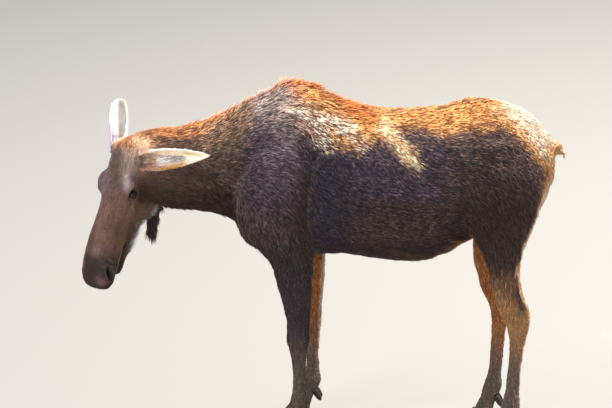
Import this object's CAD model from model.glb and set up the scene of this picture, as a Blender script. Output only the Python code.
import math

import bmesh
import bpy
import numpy as np
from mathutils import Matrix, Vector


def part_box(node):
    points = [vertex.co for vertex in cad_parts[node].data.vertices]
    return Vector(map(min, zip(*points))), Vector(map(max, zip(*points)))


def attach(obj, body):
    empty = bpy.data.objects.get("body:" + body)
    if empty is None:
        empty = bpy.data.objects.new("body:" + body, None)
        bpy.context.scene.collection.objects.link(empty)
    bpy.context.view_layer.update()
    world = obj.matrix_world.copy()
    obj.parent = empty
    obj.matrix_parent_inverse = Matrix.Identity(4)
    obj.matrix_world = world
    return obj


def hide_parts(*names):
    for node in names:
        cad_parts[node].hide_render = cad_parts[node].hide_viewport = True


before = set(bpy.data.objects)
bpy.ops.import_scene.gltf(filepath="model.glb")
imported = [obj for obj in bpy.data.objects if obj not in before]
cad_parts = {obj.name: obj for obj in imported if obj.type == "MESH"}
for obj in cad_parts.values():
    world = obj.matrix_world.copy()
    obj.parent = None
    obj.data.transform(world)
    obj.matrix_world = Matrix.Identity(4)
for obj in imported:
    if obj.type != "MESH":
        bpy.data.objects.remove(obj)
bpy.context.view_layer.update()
dice = np.random.default_rng(20)  # the draws that place and vary the hairs, in the order of the script


def ramp(low, high, value):
    # 0 before low, 1 after high, and 3t^2 - 2t^3 between them
    t = np.clip((value - low) / (high - low), 0, 1)
    return t * t * (3 - 2 * t)


def band(low, high, soft, value):
    # 1 between low and high, falling to 0 over soft outside them
    return ramp(low - soft, low, value) * (1 - ramp(high, high + soft, value))


def blob(points, centre, sizes):
    # exp(-d^2), with d the distance from the centre measured in the three half sizes
    return np.exp(-(((points - np.array(centre)) / np.array(sizes)) ** 2).sum(axis=1))


def blended(rows, start, masks):
    # the start row at every point; then each mask takes its own share of what lies under it, by
    # value + (new - value) * mask
    value = np.atleast_1d(rows[start]).astype(float)[None]
    for name, mask in masks.items():
        value = value + (np.atleast_1d(rows[name]) - value) * np.clip(mask, 0, 1)[:, None]
    return value


def nearLine(points, path, width):
    # exp(-d^2 / width^2), with d the shortest distance to the straight runs of the path
    best = np.full(len(points), np.inf)
    for start, end in zip(path, path[1:]):
        start, end = np.array(start, float), np.array(end, float)
        run = end - start
        t = np.clip((points - start) @ run / (run @ run), 0, 1)
        best = np.minimum(best, ((points - start - t[:, None] * run) ** 2).sum(axis=1))
    return np.exp(-best / width**2)


def waves(points, size, seed, count=7):
    # sum of sine waves in fixed random directions, their length about size; the result is near -1 to 1
    pick = np.random.default_rng(seed)
    ways = pick.normal(size=(count, 3))
    ways *= (2 * math.pi / size) * pick.uniform(0.6, 1.6, (count, 1)) / np.linalg.norm(ways, axis=1)[:, None]
    return np.sin(points @ ways.T + pick.uniform(0, 6.28, count)).sum(axis=1) / math.sqrt(count)


# Streaks in the coat: metres across and along one, and how closely a guide has to fit a point's own way.
lockPlan = {"wide": 0.0105, "long": 0.22, "fit": 0.03, "waves": 16, "seed": 51}


def locks(points, ways, guides, wide=lockPlan["wide"], long=lockPlan["long"]):
    # streaks that run with the hairs: for each guide, sine waves short across it and long along it;
    # every point takes the waves of the guides nearest to its own way
    total, weight = 0, 0
    count = lockPlan["waves"]
    pick = np.random.default_rng(lockPlan["seed"])
    for guide in guides:
        turns = pick.normal(size=(count, 3))
        turns = unit(turns - np.outer(turns @ guide, guide)) * pick.uniform(0.4, 1.8, (count, 1)) / wide
        turns = 2 * math.pi * (turns + np.outer(pick.normal(0, 0.7 / long, count), guide))
        near = np.exp((ways @ guide - 1) / lockPlan["fit"])
        wave = np.sin(points @ turns.T + pick.uniform(0, 6.28, count)).sum(axis=1)
        total = total + near * wave / math.sqrt(count)
        weight = weight + near
    return total / (weight + 1e-6)


def unit(vectors):
    # each vector divided by its own length
    return vectors / np.maximum(np.linalg.norm(vectors, axis=-1, keepdims=True), 1e-9)


def colour(red, green, blue):
    # a screen colour of 0 to 255 as the linear values that shaders use: ((c + 0.055) / 1.055)^2.4
    c = np.array((red, green, blue)) / 255
    return np.where(c < 0.04045, c / 12.92, ((c + 0.055) / 1.055) ** 2.4)


def meshFrom(name, points, faces):
    # points is (n, 3) and faces is (m, corners)
    mesh = bpy.data.meshes.new(name)
    mesh.vertices.add(len(points))
    mesh.vertices.foreach_set("co", np.asarray(points, np.float32).ravel())
    mesh.loops.add(faces.size)
    mesh.loops.foreach_set("vertex_index", faces.astype(np.int32).ravel())
    mesh.polygons.add(len(faces))
    mesh.polygons.foreach_set("loop_start", np.arange(0, faces.size, faces.shape[1], dtype=np.int32))
    mesh.update(calc_edges=True)
    mesh.polygons.foreach_set("use_smooth", np.ones(len(faces), bool))
    return mesh


def addPiece(name, mesh, material, slotName, *nodes):
    # the mesh as a piece on the one body, with the slot of its finish and the nodes that it stands for
    piece = bpy.data.objects.new(name, mesh)
    bpy.context.scene.collection.objects.link(piece)
    mesh.materials.append(material)
    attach(piece, "root")
    if nodes:
        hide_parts(*nodes)


def paintPoints(mesh, tints):
    # one colour for each point of the mesh
    layer = mesh.color_attributes.new(name="coatTint", type="FLOAT_COLOR", domain="POINT")
    layer.data.foreach_set("color", np.column_stack((tints, np.ones(len(tints)))).astype(np.float32).ravel())


def pointValues(mesh, name, values):
    # one number for each point, which a material reads by its name
    mesh.attributes.new(name, "FLOAT", "POINT").data.foreach_set("value", values.astype(np.float32))


def setPoints(mesh, points):
    mesh.vertices.foreach_set("co", points.astype(np.float32).ravel())


def readPoints(mesh):
    points = np.empty(len(mesh.vertices) * 3, np.float32)
    mesh.vertices.foreach_get("co", points)
    return points.reshape(-1, 3).astype(float)


def readTriangles(mesh):
    mesh.calc_loop_triangles()
    corners = np.empty(len(mesh.loop_triangles) * 3, np.int32)
    mesh.loop_triangles.foreach_get("vertices", corners)
    return corners.reshape(-1, 3)


def faceNormals(points, triangles):
    # (b - a) x (c - a), which is as long as twice the triangle's area
    a, b, c = (points[triangles[:, k]] for k in range(3))
    return np.cross(b - a, c - a)


def pointNormals(points, triangles):
    # each point's normal is the sum of its faces' normals, longer for larger faces
    flat = faceNormals(points, triangles)
    total = np.stack([sum(np.bincount(triangles[:, k], flat[:, axis], len(points)) for k in range(3))
                      for axis in range(3)], axis=1)
    return unit(total)


headPlace = {
    "pitch": 71.5,  # degrees that the face hangs below level
    "yaw": 46.0,  # degrees that it is turned to her left
    "roll": 5.0,  # degrees that it leans to the side
    "eyeSpot": (0.245, -0.036, 0.093),  # down the face, out of it, sideways
    "eyeSize": 0.0195,
}


def headAxes():
    # rows: down the face, out of the face, to her left; each turned about the level line by the roll
    pitch, yaw, roll = (math.radians(headPlace[k]) for k in ("pitch", "yaw", "roll"))
    level = np.array((-math.cos(yaw), -math.sin(yaw), 0))
    left = np.array((math.sin(yaw), -math.cos(yaw), 0))
    up = np.array((0, 0, 1.0))
    rows = np.stack((
        math.cos(pitch) * level - math.sin(pitch) * up,
        math.sin(pitch) * level + math.cos(pitch) * up,
        left,
    ))
    return (
        rows * math.cos(roll)
        + np.cross(level, rows) * math.sin(roll)
        + np.outer(rows @ level, level) * (1 - math.cos(roll))
    )


def middleOf(node):
    # the middle of the node's box
    low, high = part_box(node)
    return np.array((low + high) / 2)


headRows = headAxes()
eyesMiddle = (middleOf("eye_left") + middleOf("eye_right")) / 2
crownSpot = eyesMiddle - headPlace["eyeSpot"][0] * headRows[0] - headPlace["eyeSpot"][1] * headRows[1]


def toHead(points):
    # metres down the face, out of it and to her left, from a spot on the crown
    return (points - crownSpot) @ headRows.T


def fromHead(spot):
    # the way back from these three to a place
    return crownSpot + np.asarray(spot, float) @ headRows


headEdge = {
    "spot": (-0.7613, 0.0217),  # seen from above, where the upright plane behind the head stands
    "way": (0.944, 0.33),  # the way back through that plane
    "soft": 0.035,  # metres over which head turns into neck
    "crownHeight": 1.28,  # above this the plane leans forward
    "lean": 0.55,
}


def headness(points, soft=headEdge["soft"]):
    # 1 on the head and 0 behind the upright plane at its back, which leans forward above the ears
    behind = (points[:, :2] - headEdge["spot"]) @ np.array(headEdge["way"])
    behind = behind + headEdge["lean"] * np.clip(points[:, 2] - headEdge["crownHeight"], 0, None)
    return 1 - ramp(-soft, soft, behind)


# Root in the head's directions, length, the way it points, the way it opens, half widths from root to tip.
earPlaces = {
    "ear_left": {
        "spot": (0.08, -0.068, 0.116), "length": 0.29,
        "way": (0.955, -0.247, 0.155), "opening": (-0.219, -0.942, 0.072),
        "halfWidth": (0.034, 0.043, 0.046, 0.043, 0.036, 0.026, 0.017, 0.01, 0.004),
    },
    "ear_right": {
        "spot": (0.066, -0.085, -0.108), "length": 0.28,
        "way": (-0.131, 0.78, 0.62), "opening": (-0.266, -0.983, 0.292),
        "halfWidth": (0.027, 0.034, 0.039, 0.042, 0.045, 0.043, 0.039, 0.032, 0.022),
    },
}
earRoot = {"below": 0.01, "above": 0.045, "width": 0.032}  # the stretch of each ear that the coat runs up


def byEar(points):
    # near 1 round the root of each ear, and the way that this ear points
    total, way = 0, 0
    for place in earPlaces.values():
        own = unit(np.array(place["way"]))
        root = fromHead(place["spot"])
        stretch = (root - earRoot["below"] * own, root + earRoot["above"] * own)
        near = nearLine(points, stretch, earRoot["width"])
        total, way = total + near, way + near[:, None] * own
    return total, way


skinPlan = {
    "nodes": ["head", "muzzle", "lower_jaw", "neck", "trunk", "tail", "bell"],
    "fillers": ["eye_left", "eye_right"],  # these close the sockets until the lids are shaped
    "overlap": 0.0006,  # each node grows by this, so that the thin cuts close
    "voxel": 0.0115,
    "relaxPasses": 22,
    "relaxShares": (0.5, -0.52),  # there and back
    "fineRelax": 3,
}
legNames = [f"{end}_{side}" for end in ("front", "hind") for side in ("left", "right")]
skinPlan["nodes"] += [f"{leg}_{piece}" for leg in legNames for piece in ("upper", "cannon", "foot")]


def mergedCopy(node, grow):
    # the node's points after its doubles are merged, moved out along their normals by grow
    bm = bmesh.new()
    bm.from_mesh(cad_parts[node].data)
    bmesh.ops.remove_doubles(bm, verts=bm.verts, dist=1e-5)
    copy = bpy.data.meshes.new(node + "Copy")
    bm.to_mesh(copy)
    bm.free()
    points, triangles = readPoints(copy), readTriangles(copy)
    bpy.data.meshes.remove(copy)
    return points + grow * pointNormals(points, triangles), triangles


def joined(parts):
    # several (points, triangles) pairs as one
    starts = np.cumsum([0] + [len(points) for points, _ in parts[:-1]])
    return (np.concatenate([points for points, _ in parts]),
            np.concatenate([faces + start for (_, faces), start in zip(parts, starts)]))


def remeshed(points, triangles, voxel):
    # one closed surface round everything, in cells of the voxel's size
    holder = bpy.data.objects.new("skinHolder", meshFrom("skinHolder", points, triangles))
    bpy.context.scene.collection.objects.link(holder)
    change = holder.modifiers.new("melt", "REMESH")
    change.mode = "VOXEL"
    change.voxel_size = voxel
    bpy.context.view_layer.update()
    graph = bpy.context.evaluated_depsgraph_get()
    mesh = bpy.data.meshes.new_from_object(holder.evaluated_get(graph))
    bpy.data.objects.remove(holder)
    return mesh


def meshEdges(mesh):
    edges = np.empty(len(mesh.edges) * 2, np.int32)
    mesh.edges.foreach_get("vertices", edges)
    return edges.reshape(-1, 2)


def relax(points, edges, passes):
    # each point goes a share of the way to its neighbours' mean, then back, which keeps the volume
    a, b = edges.T
    n = len(points)
    count = np.bincount(np.concatenate((a, b)), minlength=n)[:, None]
    for share in skinPlan["relaxShares"] * passes:
        total = np.stack([np.bincount(a, points[b, k], n) + np.bincount(b, points[a, k], n)
                          for k in range(3)], axis=1)
        points = points + share * (total / count - points)
    return points


def refine(mesh, chosen):
    # every edge of the faces whose middles are chosen is cut in two
    bm = bmesh.new()
    bm.from_mesh(mesh)
    middles = np.array([face.calc_center_median() for face in bm.faces])
    edges = {edge for face, pick in zip(bm.faces, chosen(middles)) if pick for edge in face.edges}
    bmesh.ops.subdivide_edges(bm, edges=list(edges), cuts=1, use_grid_fill=True)
    bm.to_mesh(mesh)
    bm.free()


fineZones = {
    "eye": (0.055, 0.05),  # metres round the eye in side view, and from the middle of the face
    "lids": (0.034, 0.06),
    "muzzle": 0.5,  # metres down the face
}


def onFace(points):
    # where the skin is cut finer first
    return headness(points) > 0.5


def roundEye(points, reach, aside):
    # closer than reach to an eye in side view, and further than aside from the middle of the face
    spots, eye = toHead(points), headPlace["eyeSpot"]
    near = np.hypot(spots[:, 0] - eye[0], spots[:, 1] - eye[1]) < reach
    return onFace(points) & near & (np.abs(spots[:, 2]) > aside)


def onDetail(points):
    # round the eyes and over the muzzle
    muzzle = onFace(points) & (toHead(points)[:, 0] > fineZones["muzzle"])
    return roundEye(points, *fineZones["eye"]) | muzzle


def onLids(points):
    # the lids themselves
    return roundEye(points, *fineZones["lids"])


def roughSkin():
    # the nodes melted into one skin and evened, then cut finer on the face, its details and the lids
    parts = [mergedCopy(node, skinPlan["overlap"]) for node in skinPlan["nodes"]]
    parts += [mergedCopy(node, 3 * skinPlan["overlap"]) for node in skinPlan["fillers"]]
    mesh = remeshed(*joined(parts), skinPlan["voxel"])
    setPoints(mesh, relax(readPoints(mesh), meshEdges(mesh), skinPlan["relaxPasses"]))
    for chosen in (onFace, onDetail, onLids):
        refine(mesh, chosen)
        points = relax(readPoints(mesh), meshEdges(mesh), skinPlan["fineRelax"])
        setPoints(mesh, points)
    return points, readTriangles(mesh)


# Forms under the coat: (x, distance from the middle, z), half sizes, height in metres.
bodyForms = {
    "bladeTop": ((-0.19, 0.09, 1.5), (0.09, 0.08, 0.07), 0.006),
    "blade": ((-0.25, 0.17, 1.33), (0.1, 0.1, 0.15), 0.006),
    "shoulderPoint": ((-0.345, 0.17, 1.1), (0.055, 0.09, 0.075), 0.01),
    "triceps": ((-0.155, 0.21, 1.08), (0.075, 0.09, 0.13), 0.009),
    "elbow": ((-0.095, 0.2, 0.9), (0.035, 0.05, 0.045), 0.006),
    "forearm": ((-0.165, 0.19, 0.8), (0.05, 0.06, 0.08), 0.004),
    "hipBone": ((0.565, 0.165, 1.425), (0.05, 0.06, 0.035), 0.008),
    "flankHollow": ((0.5, 0.2, 1.27), (0.085, 0.1, 0.085), -0.01),
    "stifle": ((0.64, 0.19, 1.00), (0.055, 0.09, 0.06), 0.007),
    "thighSwell": ((0.82, 0.21, 1.19), (0.085, 0.1, 0.13), 0.007),
    "pinBone": ((0.96, 0.085, 1.36), (0.04, 0.045, 0.04), 0.006),
    "hockHollow": ((0.853, 0.175, 0.735), (0.018, 0.06, 0.07), -0.007),
}
# Folds and ridges in side view: (x, z) along them, width, height.
bodyFolds = {
    "behindTriceps": (
        ((-0.03, 1.36), (-0.055, 1.24), (-0.07, 1.08), (-0.06, 0.93), (-0.05, 0.86)), 0.02, -0.012),
    "beforeShoulder": (((-0.33, 1.3), (-0.395, 1.2), (-0.405, 1.06), (-0.385, 0.96)), 0.024, -0.009),
    "bladeSpine": (((-0.175, 1.52), (-0.25, 1.36), (-0.32, 1.18)), 0.02, 0.004),
    "aboveElbow": (((-0.24, 1.00), (-0.18, 0.93), (-0.12, 0.94)), 0.016, -0.005),
    "forearmLine": (((-0.115, 0.88), (-0.128, 0.76), (-0.122, 0.66)), 0.01, -0.004),
    "bicepsLine": (((0.8, 1.36), (0.845, 1.18), (0.875, 0.98), (0.885, 0.86)), 0.018, -0.006),
    "beforeThigh": (((0.6, 1.33), (0.64, 1.2), (0.615, 1.08)), 0.026, -0.006),
    "flankFold": (((0.5, 1.09), (0.565, 1.00), (0.63, 0.965)), 0.02, 0.005),
}
ribs = {"first": 0.03, "step": 0.056, "count": 9, "lean": 0.3, "leanFrom": 1.15, "height": 0.0007}
unevenness = {"size": 0.11, "height": 0.0012}


def relief(forms, folds, spots, side, facing):
    # heights along the normal: the sum of the rounded forms, and of the folds where the surface faces aside
    height = sum(tall * blob(spots, centre, sizes) for centre, sizes, tall in forms.values())
    for path, width, tall in folds.values():
        height = height + tall * facing * nearLine(side, path, width)
    return height


def bodyShape(points, normals):
    # the relief, ribs as cos(2 pi phase) with a phase that leans back, and a slow unevenness
    x, y, z = points.T
    facing = ramp(0.25, 0.7, np.abs(normals[:, 1]))
    height = relief(bodyForms, bodyFolds, np.column_stack((x, np.abs(y), z)), points[:, ::2], facing)
    phase = (x - ribs["first"] + ribs["lean"] * (z - ribs["leanFrom"])) / ribs["step"]
    ribbed = band(0, ribs["count"], 1.5, phase) * band(1.00, 1.32, 0.1, z) * facing
    height = height + ribs["height"] * ribbed * np.cos(2 * math.pi * phase)
    return height + unevenness["height"] * waves(points, unevenness["size"], 3) * (1 - headness(points))


# Forms of the face: (down, out, sideways), half sizes, height.
faceForms = {
    "brow": ((0.222, -0.006, 0.1), (0.03, 0.012, 0.022), 0.0045),
    "temple": ((0.165, -0.012, 0.088), (0.032, 0.02, 0.03), -0.006),
    "masseter": ((0.235, -0.135, 0.08), (0.062, 0.05, 0.04), 0.006),
    "underCheekbone": ((0.345, -0.092, 0.07), (0.06, 0.018, 0.03), -0.0045),
    "tearPit": ((0.279, -0.04, 0.098), (0.014, 0.007, 0.022), -0.005),
    "foreheadDip": ((0.245, 0.028, 0.000), (0.05, 0.03, 0.028), -0.003),
    "noseSide": ((0.5, 0.02, 0.072), (0.05, 0.02, 0.02), -0.004),
    "lipSwell": ((0.64, -0.03, 0.05), (0.03, 0.018, 0.04), 0.0045),
    "chin": ((0.595, -0.118, 0.000), (0.03, 0.02, 0.03), 0.004),
}
# Lines of the face: (down, out) along them, width, height.
faceFolds = {
    "facialCrest": (((0.29, -0.052), (0.35, -0.05), (0.43, -0.034)), 0.011, 0.0042),
    "jawEdge": (((0.17, -0.185), (0.3, -0.165), (0.43, -0.135)), 0.014, 0.003),
    "upperLip": (((0.5, -0.062), (0.58, -0.048), (0.64, -0.036)), 0.01, 0.003),
    "lipFoldA": (((0.56, 0.018), (0.572, -0.012), (0.566, -0.04)), 0.006, -0.0034),
    "lipFoldB": (((0.535, 0.01), (0.545, -0.022), (0.538, -0.05)), 0.006, -0.002),
    "cheekVein": (((0.33, -0.066), (0.385, -0.085), (0.42, -0.112)), 0.006, 0.0016),
    "mouth": (((0.478, -0.081), (0.54, -0.071), (0.6, -0.06), (0.668, -0.047)), 0.0042, -0.0085),
    "nostrilTop": (((0.588, 0.026), (0.612, 0.022), (0.634, 0.006)), 0.0075, 0.0046),
    "nostrilWing": (((0.59, 0.004), (0.606, -0.022), (0.63, -0.026)), 0.0075, 0.0036),
}
nostril = {
    "path": ((0.59, 0.012), (0.604, 0.006), (0.618, -0.003), (0.628, -0.014)),
    "width": 0.0085,
    "depth": 0.017,
}
lipFront = {"path": ((0.655, -0.05), (0.7, -0.045)), "width": 0.0045, "depth": 0.006}  # where the mouth ends


def faceShape(points, normals):
    # the same relief in the head's own directions, less the front of the mouth and the nostrils
    spots = toHead(points)
    side = spots[:, :2]
    facing = ramp(0.05, 0.45, normals @ headRows[2] * np.sign(spots[:, 2]))
    height = relief(faceForms, faceFolds, np.column_stack((side, np.abs(spots[:, 2]))), side, facing)
    height = height - lipFront["depth"] * nearLine(side, lipFront["path"], lipFront["width"]) * (1 - facing)
    height = height - nostril["depth"] * facing * nearLine(side, nostril["path"], nostril["width"])
    return height * headness(points)


# How deep the coat is, from skin to tips.
coatDepth = {"body": 0.0085, "crest": 0.015, "neck": 0.0105, "leg": 0.0038, "face": 0.0026, "muzzle": 0.001}


def depthOfCoat(points, normals):
    # the body's depth blended with that of each region, and on the head the face's
    x, z = points[:, 0], points[:, 2]
    crest = ramp(0.35, 0.9, normals[:, 2]) * band(-0.62, 0.16, 0.12, x) * ramp(1.36, 1.46, z)
    masks = {"neck": 1 - ramp(-0.46, -0.34, x), "crest": crest, "leg": 1 - ramp(0.62, 0.86, z)}
    depth = blended(coatDepth, "body", masks)[:, 0]
    face = blended(coatDepth, "face", {"muzzle": ramp(0.42, 0.56, toHead(points)[:, 0])})[:, 0]
    return depth + (face - depth) * headness(points)


lids = {
    "halfLong": 0.018,
    "openUp": 0.011,
    "openDown": 0.01,
    "openMean": 0.0105,
    "gaze": (0.06, 0.46, 1.0),  # down the face, out of it and sideways
    "tilt": 0.3,  # radians that the slit is turned from the face's line
    "roll": 0.003,  # thickness of the lid's edge, and the distance over which it swells
    "reach": 0.015,  # distance over which the lid runs out into the face
    "zone": 0.034,  # nothing further than this from the eye's middle moves
    "edgeFrom": 0.62,  # values of the almond between which the skin is drawn to its edge
    "edgeTo": 1.3,
    "folds": ((0.0075, -0.0016), (0.0108, 0.0012)),  # a crease and a ridge: distance from the edge, height
    "foldWidth": 0.0022,
    "gap": 0.0004,  # between the edge and the ball
    "tuck": 0.0045,  # how deep the skin runs behind the ball's face
}
almondPower = 0.57


def eyeFrame(side):
    # rows: along the slit, up across it, outward
    outward = unit((np.array(lids["gaze"]) * (1, 1, side)) @ headRows)
    slit = np.array((math.cos(lids["tilt"]), math.sin(lids["tilt"]) * 0.6, 0)) @ headRows
    slit = unit(slit - outward * (slit @ outward))
    up = unit(np.cross(outward, slit))
    if up @ headRows[1] < 0:
        up = -up
    return np.stack((slit, up, outward))


def onBall(u, v, extra):
    # the height over the ball's middle of a ball larger by extra: (r^2 - u^2 - v^2)^0.5
    return np.sqrt(np.clip((headPlace["eyeSize"] + extra) ** 2 - u**2 - v**2, 1e-6, None))


def setLids(points):
    # the skin goes over the eyeball as two lids, turns in at the almond (|u|/long)^1.6 + (|v|/open)^1.9 = 1
    # and runs behind the ball; off is the distance outside the almond, about in metres
    for side, node in ((1, "eye_left"), (-1, "eye_right")):
        rows, centre = eyeFrame(side), middleOf(node)
        u, v, w = ((points - centre) @ rows.T).T
        near = (np.hypot(u, v) < lids["zone"]) & (w > -0.01)
        tall = np.where(v > 0, lids["openUp"], lids["openDown"])
        value = (np.abs(u) / lids["halfLong"]) ** 1.6 + (np.abs(v) / tall) ** 1.9
        off = np.clip((value**almondPower - 1) * lids["openMean"], 0, None)
        edge = near & (value > lids["edgeFrom"]) & (value < lids["edgeTo"])
        inside = near & (value <= lids["edgeFrom"])
        scale = np.where(edge, np.maximum(value, 0.1) ** -almondPower, 1)
        u, v = u * scale, v * scale
        lift = lids["roll"] * (0.25 + 0.75 * ramp(0, lids["roll"], off))
        for place, tall in lids["folds"]:
            lift = lift + tall * np.exp(-(((off - place) / lids["foldWidth"]) ** 2))
        over = onBall(u, v, lift)
        w = np.where(near, over + (w - over) * ramp(0.25, 1.0, off / lids["reach"]), w)
        w = np.where(edge, onBall(u, v, lids["gap"]), w)
        w = np.where(inside, onBall(u, v, -lids["tuck"]), w)
        points = np.where(near[:, None], centre + np.column_stack((u, v, w)) @ rows, points)
    return points


skinPoints, skinFaces = roughSkin()
print("skin melted:", len(skinPoints), "points", len(skinFaces), "triangles")
skinNormals = pointNormals(skinPoints, skinFaces)
skinHeight = bodyShape(skinPoints, skinNormals) * (1 - headness(skinPoints))
skinHeight = skinHeight + faceShape(skinPoints, skinNormals) - depthOfCoat(skinPoints, skinNormals)
skinPoints = setLids(skinPoints + skinNormals * skinHeight[:, None])
skinNormals = pointNormals(skinPoints, skinFaces)
print("skin shaped")

# The markings are the same on the skin and on the coat. Each row: the colour of most hairs, the colour of the
# paler ones, the share of these, and how far they keep together in locks where that isn't usualLocks.
usualLocks = 0.3
coatColours = {
    "flank": ((64, 47, 46), (118, 92, 80), 0.34),
    "highFlank": ((66, 52, 68), (116, 96, 102), 0.34),
    "blueFlank": ((52, 42, 56), (90, 75, 84), 0.26),
    "shoulder": ((76, 60, 69), (128, 110, 120), 0.42),
    "shoulderTop": ((124, 106, 106), (188, 170, 166), 0.52),
    "fan": ((136, 94, 70), (250, 222, 202), 0.58, 1.1),
    "back": ((156, 88, 34), (244, 186, 114), 0.48, 0.4),
    "crest": ((148, 68, 16), (220, 136, 60), 0.44, 0.5),
    "neckSide": ((58, 38, 27), (98, 70, 50), 0.3),
    "neckRear": ((86, 66, 56), (148, 122, 106), 0.4),
    "underEar": ((40, 27, 19), (76, 53, 38), 0.26),
    "neckTop": ((104, 78, 60), (172, 138, 112), 0.44),
    "neckCrest": ((126, 70, 34), (206, 144, 90), 0.46, 0.6),
    "vStreak": ((226, 158, 106), (255, 226, 184), 0.7, 0.5),
    "notch": ((70, 54, 62), (128, 102, 96), 0.3),
    "rump": ((222, 170, 126), (250, 228, 208), 0.84, 0.4),
    "rumpRear": ((216, 136, 62), (248, 202, 148), 0.5, 0.6),
    "rearRim": ((220, 150, 98), (252, 218, 184), 0.55, 0.5),
    "farRim": ((206, 160, 124), (246, 220, 196), 0.5),
    "hockDark": ((66, 50, 50), (98, 76, 70), 0.3),
    "thigh": ((56, 37, 29), (96, 66, 48), 0.22),
    "belly": ((46, 36, 36), (74, 58, 54), 0.16),
    "foldRim": ((178, 106, 48), (224, 160, 98), 0.4),
    "triceps": ((66, 45, 34), (104, 76, 54), 0.28),
    "leg": ((62, 49, 53), (92, 76, 76), 0.24),
    "hock": ((182, 130, 80), (216, 168, 116), 0.35),
    "innerLeg": ((172, 98, 38), (220, 152, 84), 0.4),
    "cannon": ((116, 97, 84), (156, 138, 122), 0.3),
    "face": ((122, 88, 73), (160, 124, 103), 0.34),
    "sideFace": ((126, 90, 69), (162, 122, 95), 0.32),
    "forehead": ((122, 97, 87), (164, 138, 124), 0.42),
    "foreheadPale": ((142, 117, 105), (186, 162, 148), 0.48),
    "foreheadDark": ((100, 75, 63), (140, 112, 96), 0.34),
    "crown": ((98, 54, 24), (162, 104, 52), 0.46, 0.6),
    "crownPale": ((172, 136, 100), (224, 192, 158), 0.55, 0.6),
    "temple": ((148, 121, 104), (194, 168, 150), 0.45),
    "browPale": ((184, 164, 174), (222, 206, 214), 0.42),
    "jowl": ((60, 41, 27), (94, 67, 46), 0.28),
    "eyeWarm": ((122, 80, 52), (154, 108, 72), 0.35),
    "behindEye": ((100, 67, 47), (136, 97, 70), 0.28),
    "muzzle": ((50, 32, 27), (76, 54, 46), 0.26),
    "muzzlePatch": ((112, 84, 80), (140, 112, 106), 0.35),
    "lips": ((28, 20, 20), (46, 34, 32), 0.18),
    "mouthEdge": ((184, 110, 62), (210, 144, 94), 0.4),
    "jaw": ((138, 122, 112), (232, 226, 220), 0.62),
    "earBase": ((150, 120, 98), (216, 192, 170), 0.5, 0.5),
    "noseRim": ((118, 94, 92), (154, 130, 130), 0.4),
    "bellTuft": ((52, 36, 30), (84, 62, 50), 0.2),
    "leather": ((24, 18, 19), (34, 26, 27), 0.1),
    "lidCrease": ((184, 140, 112), (210, 170, 142), 0.4),
}

# (x, z) along the lower edge of the golden back, and the pale locks that only the left side has.
backEdge = ((-0.12, 1.47), (0.11, 1.39), (0.22, 1.44), (0.335, 1.475), (0.52, 1.458),
            (0.69, 1.492), (0.78, 1.485), (0.865, 1.43), (0.975, 1.325), (1.03, 1.27))
fanPath = ((-0.17, 1.54), (-0.095, 1.52), (-0.035, 1.48), (-0.01, 1.435))
vPath = ((0.24, 1.49), (0.305, 1.436), (0.392, 1.352))
fanLocks = (((-0.11, 1.545), (0.000, 1.52), (0.08, 1.48)),
            ((0.04, 1.5), (0.1, 1.45), (0.15, 1.415)))


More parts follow.
